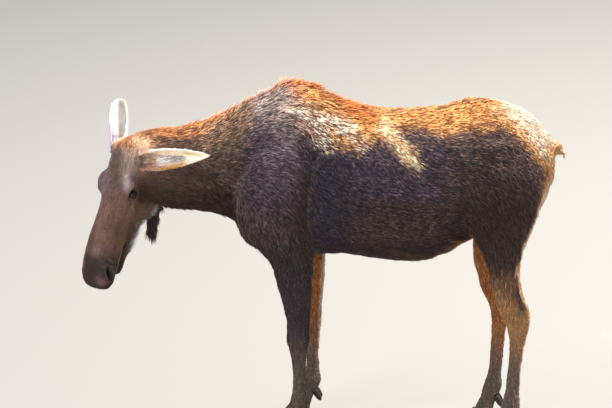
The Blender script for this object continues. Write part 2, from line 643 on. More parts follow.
def bodyMarks(points, normals):
    # masks in the order in which they are laid over each other
    x, y, z = points.T
    forward, aside, upward = normals.T
    outward = aside * np.sign(y)
    wobble = 0.5 * waves(points, 0.16, 11) + 0.5 * waves(points, 0.05, 12)
    topSide = upward + 0.08 * wobble
    side = points[:, ::2] + 0.008 * np.column_stack((waves(points, 0.09, 13), waves(points, 0.09, 14)))
    hind = ramp(0.2, 0.3, x)
    leg = 1 - ramp(0.66, 1.00, z + 0.03 * wobble)
    body = 1 - leg
    near = ramp(0.02, -0.02, y)
    far = 1 - near
    overEdge = z - np.interp(x, *zip(*backEdge)) + 0.012 * wobble
    back = ramp(-0.03 - 0.06 * far, 0.03 + 0.05 * far, overEdge) * (0.6 + 0.4 * near)
    rear = ramp(0.74, 0.92, forward) * ramp(0.8, 0.86, x) * ramp(-0.3, 0.05, outward) * (0.4 + 0.6 * near)
    lowEnd = ramp(0.25, 0.45, z)
    return {
        "highFlank": band(0.02, 0.46, 0.12, x + 0.03 * wobble) * band(1.24, 1.46, 0.09, z + 0.02 * wobble),
        "blueFlank": band(-0.05, 0.02, 0.16, x + 0.03 * wobble) * band(0.86, 1.34, 0.12, z) * body,
        "shoulder": np.clip(1.3 * blob(points * (1, 0, 1), (-0.26, 0, 1.34), (0.17, 1, 0.22)), 0, 1) * body,
        "thigh": ramp(0.54, 0.74, x + 0.4 * (1.2 - z)) * (1 - ramp(1.14, 1.34, z)),
        "belly": (1 - ramp(0.9, 1.02, z)) * body * band(-0.3, 0.62, 0.1, x),
        "neckSide": 1 - ramp(-0.46, -0.36, x),
        "triceps": nearLine(side, ((-0.085, 1.28), (-0.095, 1.1), (-0.085, 0.92)), 0.032) * body,
        "shoulderTop": band(-0.4, -0.08, 0.06, x + 0.3 * (z - 1.5)) * ramp(1.4, 1.54, z + 0.02 * wobble),
        "back": back * ramp(-0.2, -0.04, x + 0.4 * (z - 1.5)),
        "crest": ramp(0.7, 0.92, topSide - 0.14 * ramp(-0.2, -0.32, x)) * band(-0.42, 0.14, 0.08, x),
        "fan": near * (1.5 * nearLine(side, fanPath, 0.03)
                       + sum(0.75 * nearLine(side, path, 0.024) for path in fanLocks)),
        "neckRear": band(-0.55, -0.41, 0.06, x) * band(1.24, 1.5, 0.07, z + 0.02 * wobble),
        "neckTop": ramp(0.1, 0.55, topSide) * band(-0.54, -0.38, 0.07, x),
        "underEar": 0.85 * nearLine(side, ((-0.76, 1.275), (-0.52, 1.25)), 0.036),
        "neckCrest": ramp(0.52, 0.9, topSide - 0.18 * ramp(-0.6, -0.4, x)) * (1 - ramp(-0.44, -0.34, x)),
        "notch": near * nearLine(side, ((0.385, 1.435), (0.46, 1.425)), 0.03) * 1.4,
        "vStreak": near * nearLine(side, vPath, 0.025) * 1.6 * (1 - 0.7 * ramp(1.46, 1.53, z)),
        "rump": ramp(0.01, 0.075, overEdge) * ramp(0.67, 0.81, x + 0.2 * (1.5 - z)) * ramp(1.26, 1.36, z),
        "rumpRear": ramp(0.93, 1.02, x) * band(1.2, 1.4, 0.05, z),
        "foldRim": ramp(0.66, 0.86, -upward) * band(0.54, 0.66, 0.05, x) * body,
        "leg": leg * (1 - 0.6 * hind),
        "hock": leg * hind * band(0.5, 0.76, 0.24, z + 0.03 * wobble),
        "hockDark": near * nearLine(side, ((0.862, 0.775), (0.885, 0.7)), 0.022) * ramp(-0.2, 0.4, forward),
        "cannon": 1 - ramp(0.34, 0.6, z + 0.03 * wobble),
        "innerLeg": (1 - ramp(0.8 + 0.1 * hind, 0.92 + 0.1 * hind, z)) * ramp(0.25, 0.62, z)
        * ramp(0.1 - 0.35 * far, 0.75 - 0.4 * far, -outward),
        "rearRim": rear * lowEnd * (1 - ramp(1.18, 1.3, z)),
        "farRim": far * (1 - hind) * ramp(0.55, 0.85, forward) * (1 - ramp(0.8, 0.92, z)) * lowEnd,
    }


def eyePlane(points):
    # places along, across and out of the nearer eye's slit, from that eye's middle
    spots = toHead(points)
    folded = np.column_stack((spots[:, :2], np.abs(spots[:, 2]))) - np.array(headPlace["eyeSpot"])
    return (folded @ (eyeFrame(1) @ headRows.T).T).T


def faceMarks(points, normals):
    # as for the body, in the head's own directions
    spots = toHead(points)
    down, out, left = spots.T
    side = spots[:, :2]
    off = np.abs(left)
    folded = np.column_stack((down, out, off))
    wobble = waves(points, 0.03, 21)
    under = ramp(0.1, 0.6, -(normals @ headRows[1]))
    u, v, w = eyePlane(points)
    gap = np.hypot(u, v)
    facing = ramp(0.0, 0.01, w)
    lateral = ramp(0.04, 0.07, off)
    mouthLine = ((0.455, -0.072), (0.6, -0.051))
    cheekLine = ((0.13, -0.06, 0.1), (0.2, -0.068, 0.1), (0.27, -0.085, 0.092))
    foreheadSides = ((0.07, 0.01, 0.03), (0.13, 0.01, 0.052), (0.2, 0.015, 0.09))
    foreheadLine = ((0.08, 0.01, -0.022), (0.15, 0.01, -0.01), (0.22, 0.02, 0.015))
    return {
        "sideFace": ramp(0.000, -0.05, out + 0.006 * wobble) * ramp(0.1, 0.2, down),
        "forehead": 1 - ramp(0.2, 0.31, down + 0.25 * off),
        "foreheadPale": nearLine(folded, foreheadSides, 0.022) * 0.6,
        "foreheadDark": 0.7 * nearLine(spots, foreheadLine, 0.03)
        + blob(spots, (0.036, 0.0, 0.042), (0.016, 0.03, 0.014)),
        "crown": (1 - ramp(0.03, 0.085, down + 0.012 * wobble)) * (1 - ramp(0.05, 0.1, off)),
        "crownPale": nearLine(folded, ((0.012, -0.03, 0.05), (0.03, -0.045, 0.1)), 0.022),
        "temple": 0.8 * nearLine(folded, ((0.06, -0.03, 0.105), (0.13, -0.03, 0.1)), 0.026),
        "browPale": blob(folded, (0.205, 0.012, 0.092), (0.04, 0.02, 0.018)),
        "behindEye": nearLine(folded, cheekLine, 0.024),
        "jowl": ramp(-0.056, -0.084, out) * band(0.105, 0.26, 0.035, down + 0.008 * wobble),
        "eyeWarm": 0.8 * blob(folded, (0.25, 0.000, 0.08), (0.026, 0.024, 0.026)),
        "muzzle": 0.25 * ramp(0.36, 0.44, down) + 0.75 * ramp(0.45, 0.57, down + 0.01 * wobble),
        "muzzlePatch": blob(folded, (0.518, 0.06, 0.035), (0.024, 0.02, 0.034))
        + blob(folded, (0.648, 0.022, 0.062), (0.024, 0.03, 0.022)),
        "jaw": under * band(0.14, 0.56, 0.05, down) * ramp(-0.09, -0.118, out)
        * (0.35 + 0.65 * ramp(0.02, 0.05, left)),
        "earBase": 1.3 * byEar(points)[0],
        "noseRim": band(0.2, 0.58, 0.05, down) * ramp(-0.01, -0.045, left) * ramp(-0.03, 0.02, out),
        "bellTuft": onHanging(points, "bell"),
        "lips": nearLine(side, faceFolds["mouth"][0], 0.015) * ramp(0.02, 0.04, off),
        "mouthEdge": nearLine(side, mouthLine, 0.004) * lateral * (0.8 + 0.5 * np.sign(left)),
        "lidCrease": band(0.0215, 0.025, 0.002, gap) * ramp(0.2, 0.8, -v / gap) * facing * 0.8,
        "leather": np.clip(
            1.2 * nearLine(side, nostril["path"], 0.01) * lateral
            + (1 - ramp(0.0175, 0.0235, gap)) * facing
            + blob(spots, (0.672, 0.006, 0), (0.02, 0.016, 0.02)), 0, 1),
    }


# Each row of the colours as eight numbers, its two colours made linear.
coatRows = {
    name: np.array((*colour(*ground), *colour(*streak), share, *(group or [usualLocks])))
    for name, (ground, streak, share, *group) in coatColours.items()
}


def streaky(masks, streaks):
    # the edges of each mask drawn out into streaks: mask + 1.3 * streaks * mask * (1 - mask)
    masks = {name: np.clip(mask, 0, 1) for name, mask in masks.items()}
    return {name: mask + 1.3 * streaks * mask * (1 - mask) for name, mask in masks.items()}


def coatLook(points, normals, streaks):
    # eight numbers at each point: ground colour, streak colour, share of streaks, how these keep together
    body = blended(coatRows, "flank", streaky(bodyMarks(points, normals), streaks))
    face = blended(coatRows, "face", streaky(faceMarks(points, normals), 0.5 * streaks))
    return body + (face - body) * headness(points)[:, None]


# (x, z) on the side of the body, and the way that the hairs lie there, in the same two directions.
bodyLie = (
    (-0.7, 1.4, 1.0, -0.1), (-0.62, 1.25, 1.0, -0.25), (-0.7, 1.12, 0.9, -0.35), (-0.52, 1.42, 1.0, 0.3),
    (-0.5, 1.15, 0.85, -0.5), (-0.4, 1.52, 0.9, 0.45), (-0.34, 1.42, 0.9, 0.4), (-0.36, 1.28, 1.0, 0.05),
    (-0.38, 1.05, 0.4, -0.9), (-0.24, 1.62, 1.0, 0.1), (-0.22, 1.5, 1.0, 0.15), (-0.1, 1.52, 0.85, -0.45),
    (-0.04, 1.43, 0.6, -0.8), (-0.24, 1.32, 1.0, -0.1), (-0.24, 1.15, 0.75, -0.6), (-0.16, 0.98, 0.35, -0.95),
    (-0.06, 1.25, 0.55, -0.8), (0.04, 1.58, 1.0, -0.25), (0.08, 1.42, 0.85, -0.5), (0.08, 1.22, 0.95, -0.35),
    (0.08, 1.00, 1.0, -0.08), (0.22, 1.54, 1.0, -0.1), (0.28, 1.46, 0.7, -0.7), (0.38, 1.36, 0.65, -0.75),
    (0.28, 1.15, 1.0, -0.2), (0.3, 0.95, 1.0, 0.05), (0.46, 1.5, 1.0, -0.05), (0.5, 1.22, 0.95, -0.3),
    (0.52, 1.04, 0.9, 0.35), (0.64, 1.54, 1.0, 0.0), (0.66, 1.34, 0.95, -0.3), (0.66, 1.1, 0.85, -0.45),
    (0.84, 1.52, 0.9, -0.45), (0.84, 1.34, 0.8, -0.6), (0.97, 1.36, 0.35, -0.95), (0.82, 1.1, 0.45, -0.9),
    (0.95, 1.12, 0.05, -1.0), (0.74, 0.95, 0.2, -1.0), (0.86, 0.9, 0.05, -1.0), (-0.14, 0.84, 0.05, -1.0),
    (-0.14, 0.6, 0.05, -1.0), (-0.16, 0.25, 0.1, -1.0), (0.83, 0.7, 0.1, -1.0), (0.84, 0.3, 0.05, -1.0),
    (-0.42, 0.93, 0.55, -0.7),
)
lying = {
    "reach": 0.105,  # metres over which one place's way of lying fades into the next
    "earPull": 2.5,  # how strongly the hairs round an ear's root follow the ear
    "sway": 0.16,
    "swaySize": 0.07,
}
hangingParts = {"bell": 0.008, "tail": 0.004}  # metres by which the box of each grows


def lieOnBody(points):
    # the mean of the places' ways, each weighted by exp(-d^2 / reach^2), with d the distance in side view
    guides = np.array(bodyLie)
    apart = (points[:, None, 0] - guides[None, :, 0]) ** 2 + (points[:, None, 2] - guides[None, :, 1]) ** 2
    weight = np.exp(-apart / lying["reach"] ** 2) + 1e-9 / (apart + 1e-3)
    ways = weight @ guides[:, 2:] / weight.sum(axis=1)[:, None]
    return unit(np.column_stack((ways[:, 0], np.zeros(len(points)), ways[:, 1])))


def lieOnHead(points):
    # up the face from the nose, parting round the eye, and back along the jaw
    down, out, left = toHead(points).T
    back = -1.5 * ramp(0.01, 0.11, -out) * (1 - 0.7 * ramp(0.25, 0.5, down))
    aside = 0.35 * np.sign(left) * band(0.1, 0.24, 0.08, down) * ramp(-0.04, 0.01, out)
    ways = np.column_stack((-np.ones(len(points)), back, aside))
    return unit(ways @ headRows)


def boxOf(nodeName):
    # the node's lowest and highest corners
    return [np.array(corner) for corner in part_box(nodeName)]


def onHanging(points, nodeName):
    # 1 in the box of the bell or the tail, and 0 outside it
    low, high = boxOf(nodeName)
    grow = hangingParts[nodeName]
    return ((points > low - grow) & (points < high + grow)).all(axis=1) * 1.0


def flattened(ways, normals):
    # the part of each way that runs along the surface, as a unit vector
    return unit(ways - normals * (ways * normals).sum(axis=1)[:, None])


def lie(points, normals):
    # the way along the skin in which the hairs at each point lie
    head = headness(points, 0.11)[:, None]
    way = lieOnBody(points) * (1 - head) + lieOnHead(points) * head
    hanging = onHanging(points, "bell") + onHanging(points, "tail") > 0
    way = np.where(hanging[:, None], (0.15, 0, -1.0), way)
    way = way + lying["earPull"] * np.clip(byEar(points)[1], -1, 1)
    way = way + lying["sway"] * waves(points, lying["swaySize"], 31)[:, None] * np.cross(normals, way)
    return flattened(way, normals)


tuftTurn = 0.36  # share of its length where a tuft is thickest and turns down
tuftSides = ((-1.0, 0.0), (1.0, 0.0), (0.0, 0.7))  # its section there: sideways, up
tuftFaces = np.array(((0, 2, 1), (0, 3, 2), (0, 1, 3), (1, 2, 4), (2, 3, 4), (3, 1, 4)))
bakePatch = 0.003  # each tuft's share of the unwrap
tuftTone = {
    "root": 0.7,  # brightness at the root, beside 1 for the tuft's own colour
    "middle": 0.95,
    "tip": 1.14,
    "spread": 0.17,  # change of brightness from tuft to tuft
    "hueSpread": 0.015,
    "lockTone": 0.12,  # change of brightness from lock to lock
    "palest": 0.92,
}


def tuftSizes(form, variety):
    # the columns of form, each times a random share from its range in variety
    sizes = {}
    for k, part in enumerate(("length", "width", "lift", "bend")):
        sizes[part] = form[:, k] * (dice.uniform(*variety[part], len(form)) if part in variety else 1)
    return sizes


def tuftPoints(roots, normals, ways, sizes):
    # spine(t) = root + way * L cos(lift) t + normal * L sin(lift) (t - bend t^2): a point at the root, three
    # corners at the turn and a point at the tip
    length, width, lift, bend, sink = (sizes[k][:, None] for k in ("length", "width", "lift", "bend", "sink"))
    lift = np.radians(lift)
    across = unit(np.cross(normals, ways))

    def spine(t):
        rise = length * np.sin(lift) * (t - bend * t * t) - sink
        return roots + ways * length * np.cos(lift) * t + normals * rise

    middle = spine(tuftTurn)
    ring = [middle + (across * sideways + normals * up) * width / 2 for sideways, up in tuftSides]
    return np.stack([spine(0), *ring, spine(1)], axis=1)


def tuftPiece(name, points, tints, charts, slotName):
    # points (n, 5, 3), tints (n, 5, 3) and one place on the unwrap for each tuft
    n, corners = points.shape[:2]
    faces = (tuftFaces[None] + corners * np.arange(n)[:, None, None]).reshape(-1, 3)
    mesh = meshFrom(name, points.reshape(-1, 3), faces)
    paintPoints(mesh, tints.reshape(-1, 3))
    patch = np.array(((0.5, 0), (0, tuftTurn), (1, tuftTurn), (0.5, tuftTurn), (0.5, 1))) - 0.5
    spots = (charts[:, None] + bakePatch * patch[None]).reshape(-1, 2)
    layer = mesh.uv_layers.new(name="OFBake")
    layer.uv.foreach_set("vector", spots[faces.ravel()].astype(np.float32).ravel())
    addPiece(name, mesh, hairTone, slotName)


def scatter(faces, points, density):
    # roots spread evenly: equal steps along the running sum of area times density, each at a random place;
    # gives the corners round each root and their shares
    running = np.cumsum(np.linalg.norm(faceNormals(points, faces), axis=1) / 2 * density)
    n = int(running[-1])
    pick = np.searchsorted(running, (np.arange(n) + dice.uniform(0, 1, n)) * running[-1] / n)
    pick = np.minimum(pick, len(faces) - 1)
    a, b = dice.uniform(0, 1, (2, n))
    flip = a + b > 1
    a, b = np.where(flip, 1 - a, a), np.where(flip, 1 - b, b)
    return faces[pick], np.column_stack((1 - a - b, a, b))[:, :, None]


def carried(values, corners, shares):
    # the corners' values at each root, each by its share
    return (values[corners] * shares).sum(axis=1)


def tuftTints(look, streaks, n, rootTone=tuftTone["root"], spread=tuftTone["spread"]):
    # each tuft takes the ground or the streak colour, darker at its root and paler at its tip
    ground, streak, share, group = look[:, :3], look[:, 3:6], look[:, 6], look[:, 7]
    chance = dice.uniform(0, 1, n) - group * streaks * share * (2 - share)
    pale = ramp(-0.12, 0.12, share - chance)[:, None]
    own = (ground + (streak - ground) * pale) * dice.uniform(1 - spread, 1 + spread, (n, 1))
    own = own * (1 + tuftTone["lockTone"] * streaks[:, None])
    own = np.clip(own * (1 + dice.normal(0, tuftTone["hueSpread"], (n, 3))), 0.004, tuftTone["palest"])
    middle = own * tuftTone["middle"]
    tip = np.minimum(own * tuftTone["tip"] + 0.002, tuftTone["palest"] + 0.01)
    return np.stack((own * rootTone, middle, middle, middle, tip), axis=1)


class Finish:
    # a material while it is made: its shader, and the few kinds of node that the finishes need

    def __init__(self, name, **values):
        self.material = bpy.data.materials.new(name)
        self.material.use_nodes = True
        self.tree = self.material.node_tree
        self.tree.nodes.clear()
        self.shader = self.add("BsdfPrincipled", values)
        self.join(self.shader.outputs["BSDF"], self.add("OutputMaterial").inputs["Surface"])

    def add(self, kind, values=None, **settings):
        made = self.tree.nodes.new("ShaderNode" + kind)
        for key, value in settings.items():
            setattr(made, key, value)
        for key, value in (values or {}).items():
            made.inputs[key].default_value = value
        return made

    def join(self, start, end):
        self.tree.links.new(start, end)

    def read(self, attribute, output="Fac"):
        return self.add("Attribute", attribute_name=attribute).outputs[output]

    def place(self):
        return self.add("TexCoord").outputs["Object"]

    def noise(self, scale, detail):
        # noise on the object's own coordinates, in cells of 1/scale metres
        made = self.add("TexNoise", {"Scale": scale, "Detail": detail})
        self.join(self.place(), made.inputs["Vector"])
        return made.outputs["Fac"]

    def mapped(self, value, toRange, fromRange=(0.3, 0.7)):
        # from one range to another; noise lies mostly between 0.3 and 0.7
        keys = ("From Min", "From Max", "To Min", "To Max")
        made = self.add("MapRange", dict(zip(keys, (*fromRange, *toRange))))
        self.join(value, made.inputs["Value"])
        return made.outputs["Result"]

    def patches(self):
        # broad changes of tone over the coat
        return self.mapped(self.noise(hairFinish["patchScale"], 4.0), hairFinish["patchTone"])

    def times(self, first, second):
        made = self.add("Math", operation="MULTIPLY")
        self.join(first, made.inputs[0])
        self.join(second, made.inputs[1])
        return made.outputs[0]

    def tint(self, colours, first, second):
        # the shader's colour: these colours times the two tones
        made = self.add("VectorMath", operation="SCALE")
        self.join(colours, made.inputs[0])
        self.join(self.times(first, second), made.inputs["Scale"])
        self.join(made.outputs[0], self.shader.inputs["Base Color"])

    def rough(self, value):
        self.join(value, self.shader.inputs["Roughness"])

    def bump(self, height, distance, strength):
        made = self.add("Bump", {"Distance": distance, "Strength": strength})
        self.join(height, made.inputs["Height"])
        self.join(made.outputs["Normal"], self.shader.inputs["Normal"])


hairFinish = {
    "patchScale": 17.0,  # broad change of tone over the coat
    "patchTone": (0.88, 1.12),
    "hairScale": 420.0,  # change from hair to hair
    "hairTone": (0.8, 1.2),
    "rough": (0.5, 0.78),
    "sheen": 0.1,
    "sheenTint": (0.62, 0.64, 0.8, 1),
    "specular": 0.32,
    "bump": (0.0006, 0.5),  # metres, strength
}


def hairMaterial():
    # the tuft's own tint, changed a little from hair to hair and over broad patches
    made = Finish("coatHair", **{
        "Sheen Weight": hairFinish["sheen"],
        "Sheen Tint": hairFinish["sheenTint"],
        "Specular IOR Level": hairFinish["specular"],
    })
    fine = made.noise(hairFinish["hairScale"], 2.0)
    made.tint(made.read("coatTint", "Color"), made.mapped(fine, hairFinish["hairTone"]), made.patches())
    made.rough(made.mapped(fine, hairFinish["rough"]))
    made.bump(fine, *hairFinish["bump"])
    return made.material


skinFinish = {
    "pebbleScale": 620.0,
    "hairGrain": 900.0,
    "grainTone": (0.7, 1.12),
    "rough": (0.78, 0.36),  # under hair, and on bare leather
    "bump": (0.0008, 0.7),
}


def skinMaterial():
    # short hair over most of it, and bare pebbled leather where the attribute bare is 1
    made = Finish("skinHide", **{"Specular IOR Level": 0.35})
    bare = made.read("bare")
    grain = made.noise(skinFinish["hairGrain"], 2.0)
    made.tint(made.read("coatTint", "Color"), made.mapped(grain, skinFinish["grainTone"]), made.patches())
    made.rough(made.mapped(bare, skinFinish["rough"], (0, 1)))
    pebble = made.add("TexVoronoi", {"Scale": skinFinish["pebbleScale"]})
    made.join(made.place(), pebble.inputs["Vector"])
    choose = made.add("Mix")
    for source, key in ((bare, "Factor"), (grain, "A"), (pebble.outputs["Distance"], "B")):
        made.join(source, choose.inputs[key])
    made.bump(choose.outputs["Result"], *skinFinish["bump"])
    return made.material


eyeFinish = {
    "iris": (0.03, 0.014, 0.007),
    "irisEdge": (0.009, 0.005, 0.004),
    "white": (0.1, 0.07, 0.055),
    "edgeAt": 0.6,  # share of the way from the gaze to the ball's side where the iris ends
    "whiteAt": 0.72,
    "spokes": 26.0,
}


def eyeMaterial():
    # dark iris with a level oval pupil, under a wet clear layer
    made = Finish("eyeWet", **{
        "Roughness": 0.1,
        "Coat Weight": 0.7,
        "Coat Roughness": 0.03,
        "Coat IOR": 1.33,
        "Specular IOR Level": 0.2,
    })
    rings = made.add("ValToRGB")
    stops = rings.color_ramp.elements
    stops[0].position, stops[0].color = 0.0, (*eyeFinish["iris"], 1)
    stops[1].position, stops[1].color = eyeFinish["edgeAt"], (*eyeFinish["irisEdge"], 1)
    stops.new(eyeFinish["whiteAt"]).color = (*eyeFinish["white"], 1)
    made.join(made.read("fromGaze"), rings.inputs["Fac"])
    streaks = made.add("TexNoise", {"Scale": eyeFinish["spokes"]}, noise_dimensions="1D")
    made.join(made.read("irisSpoke"), streaks.inputs["W"])
    hole = made.mapped(made.read("pupil"), (0.12, 1.0), (0.9, 1.1))
    made.tint(rings.outputs["Color"], made.mapped(streaks.outputs["Fac"], (0.7, 1.4)), hole)
    return made.material


hoofFinish = {
    "dark": (0.02, 0.017, 0.016),
    "pale": (0.085, 0.072, 0.062),
    "lines": 190.0,
    "blotches": 70.0,
    "wornTo": 0.045,  # metres above the ground to which the horn is worn
    "rough": (0.36, 0.58),
    "bump": (0.0006, 0.6),
}


def hoofMaterial():
    # horn with level growth lines, worn paler and duller towards the ground
    made = Finish("hoofHorn", **{"Specular IOR Level": 0.4})
    wave = made.add("TexWave", {"Scale": hoofFinish["lines"] / 6.28, "Distortion": 2.5, "Detail": 2.0},
                    wave_type="BANDS", bands_direction="Z")
    made.join(made.place(), wave.inputs["Vector"])
    apart = made.add("SeparateXYZ")
    made.join(made.place(), apart.inputs["Vector"])
    worn = made.mapped(apart.outputs["Z"], (0.0, 0.6), (hoofFinish["wornTo"], 0.0))
    blotch = made.mapped(made.noise(hoofFinish["blotches"], 4.0), (0.4, 1.4), (0.35, 0.65))
    mixed = made.add("Mix", {"A": (*hoofFinish["dark"], 1), "B": (*hoofFinish["pale"], 1)}, data_type="RGBA")
    made.join(made.times(blotch, worn), mixed.inputs["Factor"])
    made.join(mixed.outputs["Result"], made.shader.inputs["Base Color"])
    made.rough(made.mapped(wave.outputs["Fac"], hoofFinish["rough"], (0, 1)))
    made.bump(wave.outputs["Fac"], *hoofFinish["bump"])
    return made.material


hairTone = hairMaterial()
skinTone = {"body": 0.62, "face": 0.87, "streaks": 0.5}  # the skin beside the hairs over it


def bareness(points, normals):
    # 1 on the bare leather of the nose and the lids
    return faceMarks(points, normals)["leather"] * headness(points)


def skinPiece():
    # the mean of the hairs' colours, darker, so that the skin recedes between them
    look = coatLook(skinPoints, skinNormals, np.zeros(len(skinPoints)))
    ground, streak, share = look[:, :3], look[:, 3:6], look[:, 6:7]
    shade = skinTone["body"] + (skinTone["face"] - skinTone["body"]) * headness(skinPoints)
    mesh = meshFrom("skin", skinPoints, skinFaces)
    paintPoints(mesh, (ground + (streak - ground) * share * skinTone["streaks"]) * shade[:, None])
    pointValues(mesh, "bare", bareness(skinPoints, skinNormals))
    addPiece("skin", mesh, skinMaterial(), "coat", *skinPlan["nodes"])


skinPiece()

# length, width, degrees of lift at the root, how far they bend back down, tufts for each square metre
coatForms = {
    "body": (0.028, 0.0035, 17, 0.32, 46000),
    "crest": (0.042, 0.0038, 25, 0.24, 46000),
    "neck": (0.031, 0.0036, 19, 0.28, 46000),
    "humpFront": (0.054, 0.0036, 38, 0.2, 56000),
    "leg": (0.015, 0.0026, 14, 0.3, 52000),
    "face": (0.01, 0.0018, 14, 0.3, 118000),
    "muzzle": (0.006, 0.0014, 9, 0.3, 118000),
    "jaw": (0.038, 0.002, 46, 0.24, 80000),
    "earBase": (0.026, 0.0021, 24, 0.24, 90000),
    "bell": (0.048, 0.0034, 24, 0.3, 60000),
    "tailEnd": (0.02, 0.0032, 8, 0.25, 80000),
}
coatSplit = {
    "limit": 32500,  # tufts in one piece
    "legTop": 0.84,  # below this they belong to a leg
    "middle": 0.3,  # in front of this to a front one
}
thinning = 1.0
coatVariety = {
    # from tuft to tuft, as shares of the form's own value
    "length": (0.75, 1.25),
    "width": (0.75, 1.25),
    "lift": (0.55, 1.45),
    "bend": (0.7, 1.3),
    "way": 0.1,  # radians that a tuft turns aside
    # from lock to lock
    "lockWay": 0.1,
    "lockLift": 0.12,
    # from clump to clump
    "clumpSize": 0.035,
    "clumpLength": 0.12,
    "clumpLift": 0.15,
    "drift": (0.04, 0.004),  # metres that colours are carried along the hairs, on the body and on the head
    "hoofLine": 0.06,  # no hair grows below this
}


def formMasks(points, normals):
    # where each form of tuft takes the place of those before it
    x, z = points[:, 0], points[:, 2]
    upward = normals[:, 2]
    down, out, _ = toHead(points).T
    head = headness(points)
    under = ramp(0.1, 0.6, -(normals @ headRows[1]))
    under = under * band(0.12, 0.5, 0.05, down) * ramp(-0.09, -0.118, out)
    return {
        "neck": 1 - ramp(-0.46, -0.34, x),
        "crest": ramp(0.35, 0.85, upward) * band(-0.6, 0.14, 0.12, x) * ramp(1.36, 1.46, z),
        "humpFront": ramp(0.4, 0.8, upward) * blob(points * (1, 0, 1), (-0.205, 0, 1.6), (0.055, 1, 0.06)),
        "leg": 1 - ramp(0.6, 0.86, z),
        "face": head,
        "muzzle": head * ramp(0.4, 0.56, down),
        "jaw": head * under,
        "earBase": byEar(points)[0],
        "bell": onHanging(points, "bell"),
        "tailEnd": onHanging(points, "tail"),
    }


def coatForm(points, normals):
    # length, width, lift, bend and density at each point
    return blended(coatForms, "body", formMasks(points, normals))


def legMiddle(leg, z):
    # the leg's centre line, read between the middles of its three lengths
    places = [middleOf(f"{leg}_{piece}") for piece in ("foot", "cannon", "upper")]
    heights = [place[2] for place in places]
    return [np.interp(z, heights, [place[k] for place in places]) for k in (0, 1)]


def fitted(values):
    # the values spread over 0.01 to 0.99
    low, high = values.min(), values.max()
    return 0.01 + 0.98 * (values - low) / max(high - low, 1e-6)


bodyAxis = ((-0.8, -0.4, 0.0, 1.0), (1.28, 1.24, 1.18, 1.24))  # x, and the height of the middle there


def aroundBody(points):
    # angle round the body's long axis, and distance along it that runs on over the rump and the chest
    x, y, z = points.T
    height = z - np.interp(x, *bodyAxis)
    radial = np.hypot(y, height)
    ends = ramp(0.7, 1.0, x) - (1 - ramp(-0.45, -0.3, x)) * ramp(1.02, 0.92, z)
    return np.column_stack((fitted(np.arctan2(y, height)), fitted(x + ends * (0.3 - radial))))


def aroundHead(points):
    # angle round the line down the face, and distance along it that runs on over the nose and the crown
    down, out, left = toHead(points).T
    radial = np.hypot(out + 0.065, left)
    ends = ramp(0.6, 0.68, down) - ramp(0.06, 0.0, down)
    return np.column_stack((fitted(np.arctan2(left, out + 0.065)), fitted(down + ends * (0.1 - radial))))


def aroundLeg(leg, points):
    # angle round the leg's centre line, and height
    middleX, middleY = legMiddle(leg, points[:, 2])
    turn = np.arctan2(points[:, 1] - middleY, points[:, 0] - middleX)
    return np.column_stack((fitted(turn), fitted(points[:, 2])))


def growCoat():
    # roots over the skin, then each tuft's way, sizes and tints; gives roots, points and tints
    middles = skinPoints[skinFaces].mean(axis=1)
    facing = unit(faceNormals(skinPoints, skinFaces))
    density = coatForm(middles, facing)[:, 4] * (1 - ramp(0.2, 0.5, bareness(middles, facing)))
    density = density * thinning
    density[middles[:, 2] < coatVariety["hoofLine"]] = 0
    corners, shares = scatter(skinFaces, skinPoints, density)
    roots, normals = carried(skinPoints, corners, shares), unit(carried(skinNormals, corners, shares))
    n = len(roots)
    form = coatForm(roots, normals)
    ways = lie(roots, normals)
    streaks = locks(roots, ways, lockGuides)
    turn = dice.normal(0, coatVariety["way"], (n, 1)) + coatVariety["lockWay"] * streaks[:, None]
    ways = unit(ways + np.cross(normals, ways) * turn)
    clump = waves(roots, coatVariety["clumpSize"], 41)
    sizes = tuftSizes(form, coatVariety)
    sizes["length"] = sizes["length"] * (1 + coatVariety["clumpLength"] * clump)
    sizes["lift"] = sizes["lift"] * (1 + coatVariety["clumpLift"] * clump + coatVariety["lockLift"] * streaks)
    sizes["sink"] = 0.1 * form[:, 1] + 0.0004
    bodyDrift, headDrift = coatVariety["drift"]
    drift = dice.uniform(-0.2, 1.0, n) * (bodyDrift - (bodyDrift - headDrift) * headness(roots))
    tints = tuftTints(coatLook(roots - ways * drift[:, None], normals, streaks), streaks, n)
    return roots, tuftPoints(roots, normals, ways, sizes), tints


def coverBody():
    # the coat shared out over the head, the legs and the body, each in pieces that keep to the limit
    roots, points, tints = growCoat()
    head = headness(roots) > 0.5
    leg = ~head & (roots[:, 2] < coatSplit["legTop"])
    groups = {"coatHead": (head, aroundHead, "coat_face")}
    for name in legNames:
        front, left = name.startswith("front"), name.endswith("left")
        own = leg & ((roots[:, 0] < coatSplit["middle"]) == front) & ((roots[:, 1] < 0) == left)
        groups[f"coat_{name}"] = (own, lambda spots, name=name: aroundLeg(name, spots), "coat")
    groups["coatBody"] = (~head & ~leg, aroundBody, "coat")
    for name, (mask, unwrap, slotName) in groups.items():
        own = np.flatnonzero(mask)
        order = toHead(roots[own])[:, 0] if name == "coatHead" else roots[own][:, 0]
        own = own[np.argsort(order, kind="stable")]
        pieces = np.array_split(own, math.ceil(len(own) / coatSplit["limit"]))
        for count, some in enumerate(pieces, 1):
            label = f"{name}_{count}" if len(pieces) > 1 else name
            tuftPiece(label, points[some], tints[some], unwrap(roots[some]), slotName)
        print(name, len(own), "tufts in", len(pieces), "pieces")
    return len(roots)


# the ways that streaks follow: down and back over the side at several slopes, and up the face
lockGuides = [np.array((math.cos(turn), 0, math.sin(turn))) for turn in np.radians(range(30, -111, -20))]
lockGuides += [-headRows[0]]
tuftTotal = coverBody()
print("coat laid:", tuftTotal, "tufts", tuftTotal * len(tuftFaces), "triangles")

